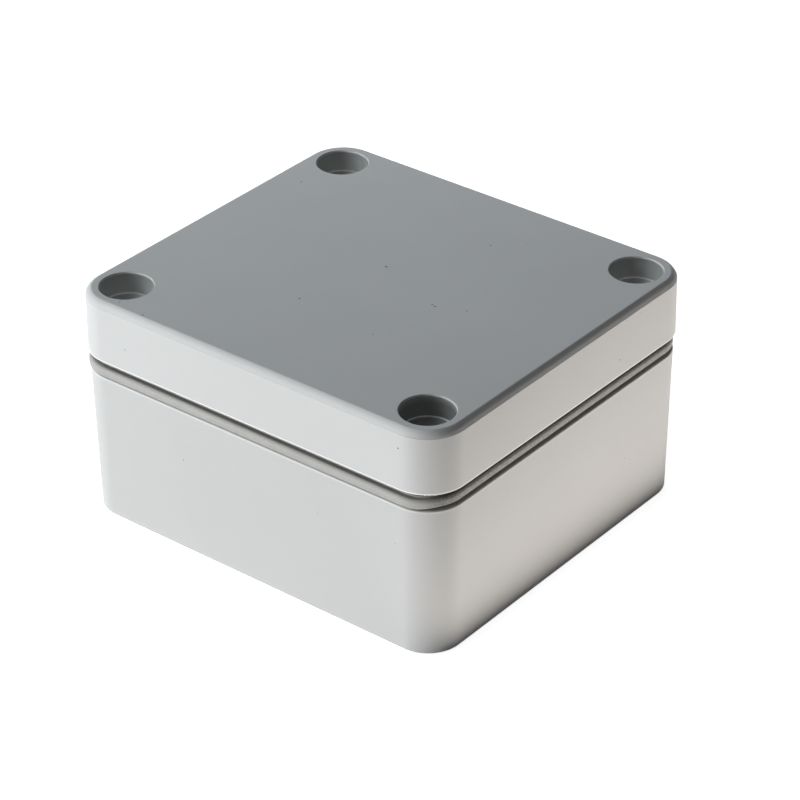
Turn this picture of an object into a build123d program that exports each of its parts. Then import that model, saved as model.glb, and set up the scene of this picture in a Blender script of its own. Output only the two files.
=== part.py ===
"""Small sealed enclosure: a deep base and a shallow lid in moulded plastic, an elastomer seal that shows in the
seam between them, and four captive screws that turn in brass inserts in the corner pillars.

Millimetres. +Z points up, X runs along the longer side, and the origin is the middle of the underside."""

from build123d import *
from math import atan2, degrees, radians, tan
import os

# Outside of the lid, measured at its lower edge
lid_length = 64.0
lid_width = 58.0
lid_corner_radius = 5.9
lid_height = 9.4
lid_draft = 0.6
lid_top_edge_radius = 1.15
lid_lower_edge_chamfer = 0.25

# Inside of the lid
lid_roof = 2.6
lid_wall = 2.6
lid_cavity_draft = 0.5
lid_roof_corner_radius = 0.8
lid_boss_radius = 4.9

# Outside of the base, which stands a little inside the lid's outline
base_height = 23.0
base_inset = 0.25
base_draft = 1.0
base_foot_edge_chamfer = 0.5
base_rim_edge_chamfer = 0.15
foot_border = 4.0
foot_recess_depth = 0.4

# Inside of the base
base_wall = 2.5
base_floor = 2.5
base_cavity_draft = 0.5
base_cavity_floor_radius = 1.0

# Seam between base and lid: a shelf carries the seal, and a tongue behind it enters the lid
seam_height = 2.6
shelf_width = 1.4
tongue_height = 3.2
tongue_lead_in = 0.2
joint_clearance = 0.25
closing_gap = 0.3

# Seal: a bead outside, rounded above and bevelled below, and a neck behind it that the lid closes on
seal_bead_height = 2.3
seal_bead_setback = 0.02
seal_bead_upper_radius = 1.15
seal_bead_lower_chamfer = 0.5
seal_neck_width = 0.5
seal_lid_gap = 0.1

# Locating lugs that hang from the lid inside the tongue
lug_length_x = 16.0
lug_length_y = 14.0
lug_thickness = 1.2
lug_reach = 1.8
lug_tip_chamfer = 0.4

# Screw holes through the lid, each with a wide recess, a sloping ledge and a bore for the screw head
screw_inset = 5.8
recess_radius = 3.8
recess_depth = 2.85
recess_draft = 3.4
ledge_fall = 0.6
head_bore_radius = 2.8
head_seat_depth = 7.4
shank_hole_radius = 1.75

# Captive screws
screw_head_radius = 2.6
screw_head_height = 2.0
screw_head_edge_chamfer = 0.25
screw_length = 8.0
screw_thread_radius = 1.5
screw_undercut_radius = 1.2
screw_undercut_length = 2.2
screw_tip_chamfer = 0.4
drive_length = 3.0
drive_width = 0.7
drive_depth = 1.2

# Square-cut sealing ring under each screw head
ring_section = 1.1
ring_running_clearance = 0.05
ring_seat_gap = 0.05

# Brass inserts and the pillars that hold them
pillar_radius = 3.8
pillar_bore_depth = 9.0
pilot_radius = 1.8
insert_radius = 2.3
insert_length = 6.0
insert_thread_clearance = 0.05
insert_band_length = 1.5
insert_groove_depth = 0.3

# Bosses for a circuit board on the base's floor
board_spacing_x = 44.0
board_spacing_y = 30.0
board_boss_radius = 2.8
board_boss_height = 5.0
board_hole_radius = 1.1
board_hole_depth = 6.0

# Upright slots for a board on edge, each between two ribs on the long walls
slot_spacing = 24.0
slot_width = 1.8
slot_rib_thickness = 1.0
slot_rib_height = 1.4
slot_rib_top_gap = 3.0
rib_root = 0.5

# Heights of the main levels above the underside
lid_bottom = base_height + seam_height
overall_height = lid_bottom + lid_height
tongue_top = base_height + tongue_height
lid_joint_ceiling = tongue_top + closing_gap
lid_roof_underside = overall_height - lid_roof
head_seat = overall_height - head_seat_depth
head_underside = head_seat + ring_section + 2 * ring_seat_gap
ledge_level = overall_height - recess_depth

# Outlines worked out from the lid's outline by their inset from it
base_length = lid_length - 2 * base_inset
base_width = lid_width - 2 * base_inset
base_corner_radius = lid_corner_radius - base_inset
foot_inset = base_height * tan(radians(base_draft)) + foot_border
cavity_inset = base_inset + base_wall
cavity_length = lid_length - 2 * cavity_inset
cavity_width = lid_width - 2 * cavity_inset
cavity_corner_radius = lid_corner_radius - cavity_inset
tongue_inset = base_inset + shelf_width
tongue_length = lid_length - 2 * tongue_inset
tongue_width = lid_width - 2 * tongue_inset
tongue_corner_radius = lid_corner_radius - tongue_inset

# Screw centres, named as seen from the front, which is the -Y side
screw_spacing_x = lid_length - 2 * screw_inset
screw_spacing_y = lid_width - 2 * screw_inset
screw_places = {
    "front_left": (-screw_spacing_x / 2, -screw_spacing_y / 2),
    "front_right": (screw_spacing_x / 2, -screw_spacing_y / 2),
    "back_left": (-screw_spacing_x / 2, screw_spacing_y / 2),
    "back_right": (screw_spacing_x / 2, screw_spacing_y / 2),
}

os.makedirs("parts", exist_ok=True)


def save(piece, name):
    """Label one finished piece and write it as its own file."""
    piece.part.label = name
    export_step(piece.part, f"parts/{name}.step")


def section_plane(x, y, height):
    """An upright plane through a screw centre: its X is the distance from the screw's axis, its Y the height."""
    return Plane(origin=(x, y, height), x_dir=(1, 0, 0), z_dir=(0, -1, 0))


# Base: a drafted tub with a stepped rim, corner pillars, board bosses and board slots
with BuildPart() as base_box:
    with BuildSketch(Plane.XY.offset(base_height)):
        RectangleRounded(base_length, base_width, base_corner_radius)
    extrude(amount=-base_height, taper=base_draft)
    chamfer(base_box.faces().sort_by(Axis.Z)[0].edges(), base_foot_edge_chamfer)
    chamfer(base_box.faces().sort_by(Axis.Z)[-1].edges(), base_rim_edge_chamfer)

    # Shallow panel in the underside, so that the base rests on its border
    with BuildSketch():
        RectangleRounded(base_length - 2 * foot_inset, base_width - 2 * foot_inset, base_corner_radius)
    extrude(amount=foot_recess_depth, mode=Mode.SUBTRACT)

    with BuildSketch(Plane.XY.offset(base_height)):
        RectangleRounded(cavity_length, cavity_width, cavity_corner_radius)
    extrude(amount=base_floor - base_height, taper=base_cavity_draft, mode=Mode.SUBTRACT)
    fillet(base_box.edges(Select.LAST).group_by(Axis.Z)[0], base_cavity_floor_radius)

    # Tongue inside the shelf
    with BuildSketch(Plane.XY.offset(base_height)):
        RectangleRounded(tongue_length, tongue_width, tongue_corner_radius)
        RectangleRounded(cavity_length, cavity_width, cavity_corner_radius, mode=Mode.SUBTRACT)
    extrude(amount=tongue_height)
    tongue_top_edges = base_box.faces().sort_by(Axis.Z)[-1].outer_wire().edges()
    chamfer(tongue_top_edges, tongue_lead_in)

    with BuildSketch(Plane.XY.offset(base_floor)):
        with GridLocations(screw_spacing_x, screw_spacing_y, 2, 2):
            Circle(pillar_radius)
    extrude(amount=tongue_top - base_floor)
    with Locations((0, 0, tongue_top)):
        with GridLocations(screw_spacing_x, screw_spacing_y, 2, 2):
            CounterBoreHole(pilot_radius, insert_radius, insert_length, depth=pillar_bore_depth)

    with BuildSketch(Plane.XY.offset(base_floor)):
        with GridLocations(board_spacing_x, board_spacing_y, 2, 2):
            Circle(board_boss_radius)
    extrude(amount=board_boss_height)
    with Locations((0, 0, base_floor + board_boss_height)):
        with GridLocations(board_spacing_x, board_spacing_y, 2, 2):
            Hole(board_hole_radius, depth=board_hole_depth)

    # The two ribs of each slot stand a board's thickness apart
    with BuildSketch(Plane.XY.offset(base_floor)):
        with GridLocations(slot_spacing, cavity_width - slot_rib_height + rib_root, 2, 2):
            with GridLocations(slot_width + slot_rib_thickness, 0, 2, 1):
                Rectangle(slot_rib_thickness, slot_rib_height + rib_root)
    extrude(amount=base_height - slot_rib_top_gap - base_floor)
save(base_box, "base_box")

# Lid: a shallow cap with a rounded top edge, a rebate for the tongue, screw bosses and locating lugs
with BuildPart() as lid:
    with BuildSketch(Plane.XY.offset(lid_bottom)):
        RectangleRounded(lid_length, lid_width, lid_corner_radius)
    extrude(amount=lid_height, taper=lid_draft)
    fillet(lid.faces().sort_by(Axis.Z)[-1].edges(), lid_top_edge_radius)
    chamfer(lid.faces().sort_by(Axis.Z)[0].edges(), lid_lower_edge_chamfer)

    with BuildSketch(Plane.XY.offset(lid_joint_ceiling)):
        RectangleRounded(lid_length - 2 * lid_wall, lid_width - 2 * lid_wall, lid_corner_radius - lid_wall)
    extrude(amount=lid_roof_underside - lid_joint_ceiling, taper=lid_cavity_draft, mode=Mode.SUBTRACT)
    fillet(lid.edges(Select.LAST).group_by(Axis.Z)[-1], lid_roof_corner_radius)

    # Rebate that passes over the tongue
    with BuildSketch(Plane.XY.offset(lid_bottom)):
        RectangleRounded(
            tongue_length + 2 * joint_clearance,
            tongue_width + 2 * joint_clearance,
            tongue_corner_radius + joint_clearance,
        )
    extrude(amount=lid_joint_ceiling - lid_bottom, mode=Mode.SUBTRACT)

    with BuildSketch(Plane.XY.offset(lid_joint_ceiling)):
        with GridLocations(screw_spacing_x, screw_spacing_y, 2, 2):
            Circle(lid_boss_radius)
    extrude(amount=lid_roof_underside - lid_joint_ceiling)

    # Locating lugs: each joins the wall above the rebate and reaches down inside the tongue
    lug_inset = cavity_inset + joint_clearance + lug_thickness / 2
    with BuildSketch(Plane.XY.offset(tongue_top - lug_reach)):
        with GridLocations(lid_length - 2 * lug_inset, 0, 2, 1):
            Rectangle(lug_thickness, lug_length_y)
        with GridLocations(0, lid_width - 2 * lug_inset, 1, 2):
            Rectangle(lug_length_x, lug_thickness)
    extrude(amount=lid_roof_underside - tongue_top + lug_reach)
    chamfer(lid.faces().group_by(Axis.Z)[0].edges(), lug_tip_chamfer)
    web_inset = (lid_wall + lug_inset) / 2
    web_width = lug_inset - lid_wall + 2 * rib_root
    with BuildSketch(Plane.XY.offset(lid_joint_ceiling)):
        with GridLocations(lid_length - 2 * web_inset, 0, 2, 1):
            Rectangle(web_width, lug_length_y)
        with GridLocations(0, lid_width - 2 * web_inset, 1, 2):
            Rectangle(lug_length_x, web_width)
    extrude(amount=lid_roof_underside - lid_joint_ceiling)

    # Stepped screw holes, from the top down
    with BuildSketch(Plane.XY.offset(overall_height)):
        with GridLocations(screw_spacing_x, screw_spacing_y, 2, 2):
            Circle(recess_radius)
    extrude(amount=-recess_depth, taper=recess_draft, mode=Mode.SUBTRACT)
    ledge_radius = recess_radius - recess_depth * tan(radians(recess_draft))
    with BuildSketch(Plane.XY.offset(ledge_level)):
        with GridLocations(screw_spacing_x, screw_spacing_y, 2, 2):
            Circle(ledge_radius)
    ledge_taper = degrees(atan2(ledge_radius - head_bore_radius, ledge_fall))
    extrude(amount=-ledge_fall, taper=ledge_taper, mode=Mode.SUBTRACT)
    with Locations((0, 0, ledge_level)):
        with GridLocations(screw_spacing_x, screw_spacing_y, 2, 2):
            CounterBoreHole(
                shank_hole_radius,
                head_bore_radius,
                head_seat_depth - recess_depth,
                depth=ledge_level - lid_bottom,
            )
save(lid, "lid")

# Seal: the bead hangs over the shelf's edge, and the neck stands behind it against the tongue
with BuildPart() as lid_seal:
    with BuildSketch(Plane.XY.offset(base_height)):
        RectangleRounded(
            lid_length - 2 * seal_bead_setback,
            lid_width - 2 * seal_bead_setback,
            lid_corner_radius - seal_bead_setback,
        )
    extrude(amount=seal_bead_height)
    fillet(lid_seal.faces().sort_by(Axis.Z)[-1].edges(), seal_bead_upper_radius)
    chamfer(lid_seal.faces().sort_by(Axis.Z)[0].edges(), seal_bead_lower_chamfer)
    with BuildSketch(Plane.XY.offset(base_height)):
        RectangleRounded(
            tongue_length + 2 * seal_neck_width,
            tongue_width + 2 * seal_neck_width,
            tongue_corner_radius + seal_neck_width,
        )
    extrude(amount=seam_height - seal_lid_gap)
    with BuildSketch(Plane.XY.offset(base_height)):
        RectangleRounded(tongue_length, tongue_width, tongue_corner_radius)
    extrude(amount=seam_height, mode=Mode.SUBTRACT)
save(lid_seal, "lid_seal")

for corner, (x, y) in screw_places.items():
    screw_axis = Axis((x, y, 0), (0, 0, 1))

    # Screw: cheese head with a cross recess, undercut shank, threaded end
    with BuildPart() as lid_screw:
        with BuildSketch(section_plane(x, y, head_underside)):
            with BuildLine():
                Polyline(
                    (0, screw_head_height),
                    (screw_head_radius, screw_head_height),
                    (screw_head_radius, 0),
                    (screw_undercut_radius, 0),
                    (screw_undercut_radius, -screw_undercut_length),
                    (screw_thread_radius, -screw_undercut_length),
                    (screw_thread_radius, screw_tip_chamfer - screw_length),
                    (screw_thread_radius - screw_tip_chamfer, -screw_length),
                    (0, -screw_length),
                    close=True,
                )
            make_face()
        revolve(axis=screw_axis)
        chamfer(lid_screw.edges().group_by(Axis.Z)[-1], screw_head_edge_chamfer)
        with BuildSketch(Plane((x, y, head_underside + screw_head_height))):
            Rectangle(drive_length, drive_width)
            Rectangle(drive_width, drive_length)
        extrude(amount=-drive_depth, mode=Mode.SUBTRACT)
    save(lid_screw, f"lid_screw_{corner}")

    # Sealing ring round the undercut shank
    ring_bore_radius = screw_undercut_radius + ring_running_clearance
    with BuildPart() as screw_ring:
        with BuildSketch(Plane((x, y, head_seat + ring_seat_gap))):
            Circle(ring_bore_radius + ring_section)
            Circle(ring_bore_radius, mode=Mode.SUBTRACT)
        extrude(amount=ring_section)
    save(screw_ring, f"screw_ring_{corner}")

    # Insert: a brass sleeve with two gripping bands and a groove between them
    insert_bore_radius = screw_thread_radius + insert_thread_clearance
    groove_radius = insert_radius - insert_groove_depth
    with BuildPart() as threaded_insert:
        with BuildSketch(section_plane(x, y, tongue_top)):
            with BuildLine():
                Polyline(
                    (insert_bore_radius, 0),
                    (insert_radius, 0),
                    (insert_radius, -insert_band_length),
                    (groove_radius, -insert_band_length),
                    (groove_radius, insert_band_length - insert_length),
                    (insert_radius, insert_band_length - insert_length),
                    (insert_radius, -insert_length),
                    (insert_bore_radius, -insert_length),
                    close=True,
                )
            make_face()
        revolve(axis=screw_axis)
    save(threaded_insert, f"threaded_insert_{corner}")
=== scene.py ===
"""Looks of a small sealed enclosure: two matt plastic mouldings, the elastomer seal in their seam, and the
captive screws, sealing rings and brass inserts that close the lid. Lengths are metres in Blender and are
entered in millimetres; places come from the fixed frame."""
from math import copysign, cos, pi, radians, sin, tan

import bmesh
import bpy
from mathutils import Matrix, Vector


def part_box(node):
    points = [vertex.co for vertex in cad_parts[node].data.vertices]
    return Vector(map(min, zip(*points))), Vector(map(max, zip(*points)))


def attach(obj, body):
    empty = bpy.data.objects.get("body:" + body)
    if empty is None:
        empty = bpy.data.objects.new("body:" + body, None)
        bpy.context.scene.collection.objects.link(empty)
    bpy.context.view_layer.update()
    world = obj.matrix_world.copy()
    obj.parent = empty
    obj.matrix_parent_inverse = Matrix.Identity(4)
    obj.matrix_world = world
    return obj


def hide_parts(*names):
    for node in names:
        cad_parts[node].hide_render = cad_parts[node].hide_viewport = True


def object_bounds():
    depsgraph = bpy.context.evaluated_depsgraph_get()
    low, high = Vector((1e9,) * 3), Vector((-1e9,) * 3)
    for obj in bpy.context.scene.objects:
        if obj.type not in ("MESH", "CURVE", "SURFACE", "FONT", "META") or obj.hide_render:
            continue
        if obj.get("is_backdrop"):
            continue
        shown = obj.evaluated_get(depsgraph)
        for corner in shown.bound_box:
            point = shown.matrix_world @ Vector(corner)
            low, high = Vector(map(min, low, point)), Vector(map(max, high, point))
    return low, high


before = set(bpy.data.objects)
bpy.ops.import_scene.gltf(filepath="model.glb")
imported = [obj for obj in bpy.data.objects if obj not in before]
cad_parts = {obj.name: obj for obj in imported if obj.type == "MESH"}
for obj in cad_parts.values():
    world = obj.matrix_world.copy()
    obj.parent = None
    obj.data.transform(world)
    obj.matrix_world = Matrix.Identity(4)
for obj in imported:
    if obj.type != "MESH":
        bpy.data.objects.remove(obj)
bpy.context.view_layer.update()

bl_info = {
    "name": "Sealed Enclosure",
    "version": (1, 0, 0),
    "blender": (4, 5, 0),
    "location": "3D View > Sidebar > Enclosure",
    "description": "Builds the mouldings, seal, screws and studio of a small sealed enclosure",
    "category": "Object",
}

MM = 0.001
CORNERS = ("front_left", "front_right", "back_left", "back_right")

# Steps in a quarter of the outline, in a rounded bend and round a turned form
OUTLINE_STEPS = 20
BEND_STEPS = 7
TURN_STEPS = 80

# Roundings of moulded edges, the lean of inner walls, how deep an addition is sunk in what carries it, how
# far a cutter reaches past what it cuts, and how far off a point lies that only gives a line's direction
FINE_EDGE = 0.1 * MM
SOFT_EDGE = 0.12 * MM
INNER_DRAFT = radians(0.5)
SUNK = 0.5 * MM
CLEAR = 1 * MM
AWAY = 5 * MM


# Sizes and colours that a user would change

def length(name, millimetres, description):
    """A length property, entered in millimetres."""
    return bpy.props.FloatProperty(
        name=name, description=description, default=millimetres * MM, min=0, precision=5, unit="LENGTH"
    )


def angle(name, degrees, description):
    """An angle property, entered in degrees."""
    return bpy.props.FloatProperty(
        name=name, description=description, default=radians(degrees), subtype="ANGLE"
    )


def colour(name, red, green, blue, description):
    """A linear colour property."""
    return bpy.props.FloatVectorProperty(
        name=name, description=description, default=(red, green, blue), min=0, max=1, size=3, subtype="COLOR"
    )


def amount(name, value, description):
    """A plain number property."""
    return bpy.props.FloatProperty(name=name, description=description, default=value, min=0)


class MouldingSizes(bpy.types.PropertyGroup):
    """Sizes of the base and lid mouldings."""

    corner_radius: length("Corner radius", 5.9, "Radius of the lid's corners at its lower edge")
    seam_height: length("Seam height", 2.6, "Height between the base's shelf and the lid's lower edge")
    lid_draft: angle("Lid draft", 0.6, "Lean of the lid's side walls")
    lid_wall: length("Lid wall", 2.6, "Thickness of the lid's side walls")
    lid_roof: length("Lid roof", 2.6, "Thickness of the lid's top")
    top_edge: length("Top edge", 0.85, "Height of the lid's rounded top edge")
    lower_edge: length("Lower edge radius", 0.12, "Rounding of the lid's lower edge")
    base_inset: length("Base inset", 0.25, "How far the base's rim stands inside the lid's outline")
    base_draft: angle("Base draft", 1.0, "Lean of the base's side walls")
    base_wall: length("Base wall", 2.5, "Thickness of the base's side walls")
    base_floor: length("Base floor", 2.5, "Thickness of the base's floor")
    foot_edge: length("Foot edge radius", 0.5, "Rounding of the base's lower edge")
    shelf_width: length("Shelf width", 1.4, "Width of the shelf that carries the seal")
    joint_clearance: length("Joint clearance", 0.25, "Room between the tongue and the lid's rebate")
    closing_gap: length("Closing gap", 0.3, "Room above the tongue when the lid is shut")
    recess_radius: length("Screw recess radius", 3.8, "Radius of the screw recess at the lid's top")
    recess_depth: length("Screw recess depth", 3.2, "Depth of the screw recess down to its ledge")
    pillar_radius: length("Pillar radius", 3.8, "Radius of the base's corner pillars")
    boss_radius: length("Lid boss radius", 4.9, "Radius of the bosses round the lid's screw holes")


class FixingSizes(bpy.types.PropertyGroup):
    """Sizes of the screws, sealing rings and inserts."""

    thread_pitch: length("Thread pitch", 0.5, "Rise of the screw thread in one turn")
    thread_radius: length("Thread radius", 1.5, "Outer radius of the screw thread")
    thread_depth: length("Thread depth", 0.26, "Depth of the thread's groove")
    head_edge: length("Head edge radius", 0.3, "Rounding of the screw head's edge")
    drive_width: length("Drive width", 0.7, "Width of the cross recess in the screw head")
    drive_length: length("Drive length", 3.0, "Length of each arm of the cross recess")
    drive_depth: length("Drive depth", 1.2, "Depth of the cross recess")
    knurl_count: bpy.props.IntProperty(
        name="Knurl count", description="Number of ridges round each insert", default=32, min=8
    )
    knurl_depth: length("Knurl depth", 0.14, "Height of the ridges round each insert")


class FinishColours(bpy.types.PropertyGroup):
    """Colours of the finishes, as linear values."""

    lid: colour("Lid plastic", 0.5, 0.502, 0.5, "Light grey of the lid moulding")
    base: colour("Base plastic", 0.467, 0.468, 0.466, "Light grey of the base moulding, a shade darker")
    seal: colour("Seal", 0.34, 0.335, 0.32, "Grey of the elastomer seal")
    steel: colour("Screw steel", 0.6, 0.59, 0.57, "Stainless steel of the screws")
    rubber: colour("Ring rubber", 0.018, 0.018, 0.019, "Black of the sealing rings")
    brass: colour("Insert brass", 0.76, 0.55, 0.25, "Brass of the threaded inserts")
    dust: colour("Dust", 0.06, 0.058, 0.055, "Dark specks of dust on the lid")


class StudioSettings(bpy.types.PropertyGroup):
    """Camera and lamps."""

    lens: bpy.props.FloatProperty(
        name="Lens", description="Focal length on a 36 mm sensor", default=142.44, unit="CAMERA"
    )
    azimuth: angle("Camera azimuth", 38.884, "Turn of the camera about the vertical, from the front")
    elevation: angle("Camera elevation", 31.589, "Height of the camera above the horizon")
    roll: angle("Camera roll", -0.471, "Tilt of the picture")
    distance: length("Camera distance", 444.37, "Distance from the camera to the point it looks at")
    aim_right: length("Aim to the right", 2.309, "How far to the right of the axis the camera looks")
    aim_height: length("Aim height", 15.267, "How far above the underside the camera looks")
    key_power: amount("Key lamp", 4.25, "Power in watts of the low lamp at the front left")
    overhead_power: amount("Overhead lamp", 2.1, "Power in watts of the high lamp at the left")
    back_power: amount("Back lamp", 1.0, "Power in watts of the lamp behind that lights the top")
    table_power: amount("Table light", 0.155, "Power in watts of the light from the table at the right")
    ambient: amount("Ambient", 0.02, "Strength of the even light from all round")


# Nodes

class Wire:
    """One output of a node. Sums, differences, products and quotients of wires add Math nodes."""

    def __init__(self, graph, socket):
        self.graph = graph
        self.socket = socket

    def __getitem__(self, name):
        return Wire(self.graph, self.socket.node.outputs[name])

    def maths(self, operation, *others):
        sockets = dict(enumerate((self, *others)))
        return self.graph.add("ShaderNodeMath", {"operation": operation}, sockets)

    def __add__(self, other):
        return self.maths("ADD", other)

    def __sub__(self, other):
        return self.maths("SUBTRACT", other)

    def __rsub__(self, other):
        return (self * -1) + other

    def __mul__(self, other):
        return self.maths("MULTIPLY", other)

    def __truediv__(self, other):
        return self.maths("DIVIDE", other)

    __radd__ = __add__
    __rmul__ = __mul__


class Graph:
    """A node tree that is built one node at a time."""

    def __init__(self, tree):
        self.tree = tree
        tree.nodes.clear()

    def add(self, kind, settings=None, sockets=None):
        """One node of a type, with its settings and the values or wires of its sockets; gives its output."""
        node = self.tree.nodes.new(kind)
        for name, value in (settings or {}).items():
            setattr(node, name, value)
        for name, value in (sockets or {}).items():
            self.feed(self.socket_of(node, name), value)
        shown = [output for output in node.outputs if output.enabled]
        return Wire(self, shown[0]) if shown else None

    def socket_of(self, node, name):
        """A node's input by its number or, among those in use, by its name."""
        if isinstance(name, int):
            return node.inputs[name]
        return next(socket for socket in node.inputs if socket.name == name and socket.enabled)

    def feed(self, socket, value):
        """Links a wire to an input, or sets the input's value."""
        if isinstance(value, Wire):
            self.tree.links.new(value.socket, socket)
        elif hasattr(socket, "default_value") and socket.type == "RGBA" and len(value) == 3:
            socket.default_value = (*value, 1)
        else:
            socket.default_value = value

    def mix_colour(self, factor, first, second, blend="MIX"):
        settings = {"data_type": "RGBA", "blend_type": blend}
        return self.add("ShaderNodeMix", settings, {"Factor": factor, "A": first, "B": second})

    def vector(self, operation, first, second):
        return self.add("ShaderNodeVectorMath", {"operation": operation}, {0: first, 1: second})

    def combine(self, x, y, z):
        return self.add("ShaderNodeCombineXYZ", None, {"X": x, "Y": y, "Z": z})

    def split(self, vector):
        """A vector's parts, as the outputs X, Y and Z."""
        return self.add("ShaderNodeSeparateXYZ", None, {"Vector": vector})

    def toned(self, tint, tone):
        """A colour made lighter or darker by a tone."""
        return self.mix_colour(1.0, tuple(tint), self.combine(tone, tone, tone), "MULTIPLY")

    def circle(self, steps, radius):
        return self.add("GeometryNodeCurvePrimitiveCircle", None, {"Resolution": steps, "Radius": radius})

    def skin(self, path, section, **sockets):
        """A section swept along a path."""
        named = {name.replace("_", " "): value for name, value in sockets.items()}
        return self.add("GeometryNodeCurveToMesh", None, {"Curve": path, "Profile Curve": section, **named})

    def moved(self, geometry, place):
        return self.add("GeometryNodeTransform", None, {"Geometry": geometry, "Translation": place})

    def lifted(self, geometry, height):
        return self.moved(geometry, self.combine(0.0, 0.0, height))

    def joined(self, *parts):
        """Several geometries as one, in the given order."""
        both = self.add("GeometryNodeJoinGeometry")
        for part in parts:
            self.tree.links.new(part.socket, both.socket.node.inputs[0])
        return both


# Materials

# Half the width of the painted highlight line on an edge, its colour, and the black that the painted shade in
# the screw recesses tends to
HIGHLIGHT_LINE = 0.13 * MM
EDGE_HIGHLIGHT = (0.92, 0.92, 0.91)
SHADE_BLACK = (0, 0, 0)

# Strength of the painted shade in a screw recess, its radius, where it starts and ends below the lid's top,
# the height in which it sets in, and how far it spreads towards the front right
RECESS_SHADE = 0.5
RECESS_SHADE_RADIUS = 4.05 * MM
RECESS_SHADE_START = 0.3 * MM
RECESS_SHADE_END = 8 * MM
RECESS_SHADE_FADE = 0.9 * MM
RECESS_SHADE_SPREAD = 45 * MM

# Specular levels of the matt finishes, which stay dull before a white background
PLASTIC_GLOSS = 0.12
SEAL_GLOSS = 0.15


def shader_graph(owner):
    """The empty node graph of a material or a world."""
    owner.use_nodes = True
    return Graph(owner.node_tree)


def new_material(name):
    """A material with an empty node graph, and the place of each point on the piece."""
    material = bpy.data.materials.new(name)
    graph = shader_graph(material)
    place = graph.add("ShaderNodeTexCoord")["Object"]
    return material, graph, place


def close_material(graph, height, bump_depth, **sockets):
    """The principled shader with a bumped normal, and the material's output."""
    normal = graph.add("ShaderNodeBump", None, {"Strength": 1.0, "Distance": bump_depth, "Height": height})
    named = {name.replace("_", " "): value for name, value in sockets.items()}
    shader = graph.add("ShaderNodeBsdfPrincipled", None, {**named, "Normal": normal})
    graph.add("ShaderNodeOutputMaterial", None, {"Surface": shader})


def noise(graph, place, size, detail=2.0, roughness=0.5):
    """Noise with features of about the given size, from 0 to 1."""
    sockets = {"Vector": place, "Scale": 1 / size, "Detail": detail, "Roughness": roughness}
    return graph.add("ShaderNodeTexNoise", None, sockets)


def speck(x, y, z, radius, weights=(1, 1, 0.1)):
    """A speck of dust: its place and radius in millimetres, and how much a distance from it counts along X,
    Y and Z."""
    return Vector((x, y, z)) * MM, radius * MM, weights


def speck_mask(graph, place, centre, radius, weights):
    """1 inside a small blurred spot round a point, 0 outside."""
    offset = graph.vector("SUBTRACT", place, centre)
    offset = graph.vector("MULTIPLY", offset, weights)
    distance = graph.add("ShaderNodeVectorMath", {"operation": "LENGTH"}, {0: offset})["Value"]
    sockets = {"Value": distance, "From Min": radius * 0.5, "From Max": radius, "To Min": 1.0, "To Max": 0.0}
    return graph.add("ShaderNodeMapRange", None, sockets)


def clamped(value):
    """The value held between 0 and 1."""
    return value.maths("MINIMUM", 1).maths("MAXIMUM", 0)


def band(value, middle, half):
    """1 where a value is close to the middle of a band, falling to 0 at the band's limits."""
    gap = (value - middle).maths("ABSOLUTE") / half
    return clamped((1 - gap) * 3)


def recess_shade_mask(parts, away, levels):
    """How much painted shade darkens the screw recesses: none at their rim, more below it and towards the
    front right.
    """
    level = parts["Z"]
    depth = clamped((levels.top - RECESS_SHADE_START - level) / RECESS_SHADE_FADE)
    inside = away.maths("LESS_THAN", RECESS_SHADE_RADIUS) * level.maths("GREATER_THAN", levels.top - RECESS_SHADE_END)
    nearness = clamped((parts["X"] - parts["Y"]) / RECESS_SHADE_SPREAD)
    return depth * inside * nearness * RECESS_SHADE


def dust_mask(graph, place, specks):
    """1 on the specks of dust, and half on stray dust between them."""
    fine_dust = noise(graph, place, 0.5 * MM, 1)
    strays = graph.add("ShaderNodeMapRange", None, {"Value": fine_dust, "From Min": 0.79, "From Max": 0.83})
    mask = strays * 0.5
    for centre, radius, weights in specks:
        mask = mask.maths("MAXIMUM", speck_mask(graph, place, centre, radius, weights))
    return mask


def plastic_material(name, plastic, dust, specks, edges, levels):
    """Matt moulded plastic: fine eroded grain, soft cloudiness of the melt, specks of dust, painted shade in
    the screw recesses, and painted highlight lines along sharp edges. An edge is given as its height, its
    radius about the screw, or None where it runs all round, and its strength."""
    material, graph, place = new_material(name)
    melt_cloud = noise(graph, place, 14 * MM, 3)
    flow = graph.vector("MULTIPLY", place, (0.35, 1.0, 2.2))
    flow_streaks = noise(graph, flow, 5 * MM, 4, 0.6)
    grain = noise(graph, place, 0.16 * MM, 3, 0.65)
    pit_size = 0.34 * MM
    pits = graph.add("ShaderNodeTexVoronoi", {"feature": "F1"}, {"Vector": place, "Scale": 1 / pit_size})
    tint = graph.toned(plastic, 0.965 + melt_cloud * 0.04 + flow_streaks * 0.02 + grain * 0.012)
    parts = graph.split(place)
    away = distance_from_screw(graph, place)
    # Painted shade: the screw recesses darken towards black, most in the near pocket at the front right.
    tint = graph.mix_colour(recess_shade_mask(parts, away, levels), tint, SHADE_BLACK)
    # Painted highlight lines along sharp edges, where light would catch them.
    for height, radius, strength in edges:
        line = band(parts["Z"], height, HIGHLIGHT_LINE)
        if radius:
            line = line * band(away, radius, 2 * HIGHLIGHT_LINE)
        tint = graph.mix_colour(line * (0.75 + grain * 0.3) * strength, tint, EDGE_HIGHLIGHT)
    tint = graph.mix_colour(dust_mask(graph, place, specks) * 0.85, tint, tuple(dust))
    relief = grain * 0.7 + pits["Distance"] * 0.3
    roughness = 0.47 + grain * 0.1 - melt_cloud * 0.05
    close_material(graph, relief, 0.012 * MM,
                   Base_Color=tint, Roughness=roughness, Specular_IOR_Level=PLASTIC_GLOSS)
    return material


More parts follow.
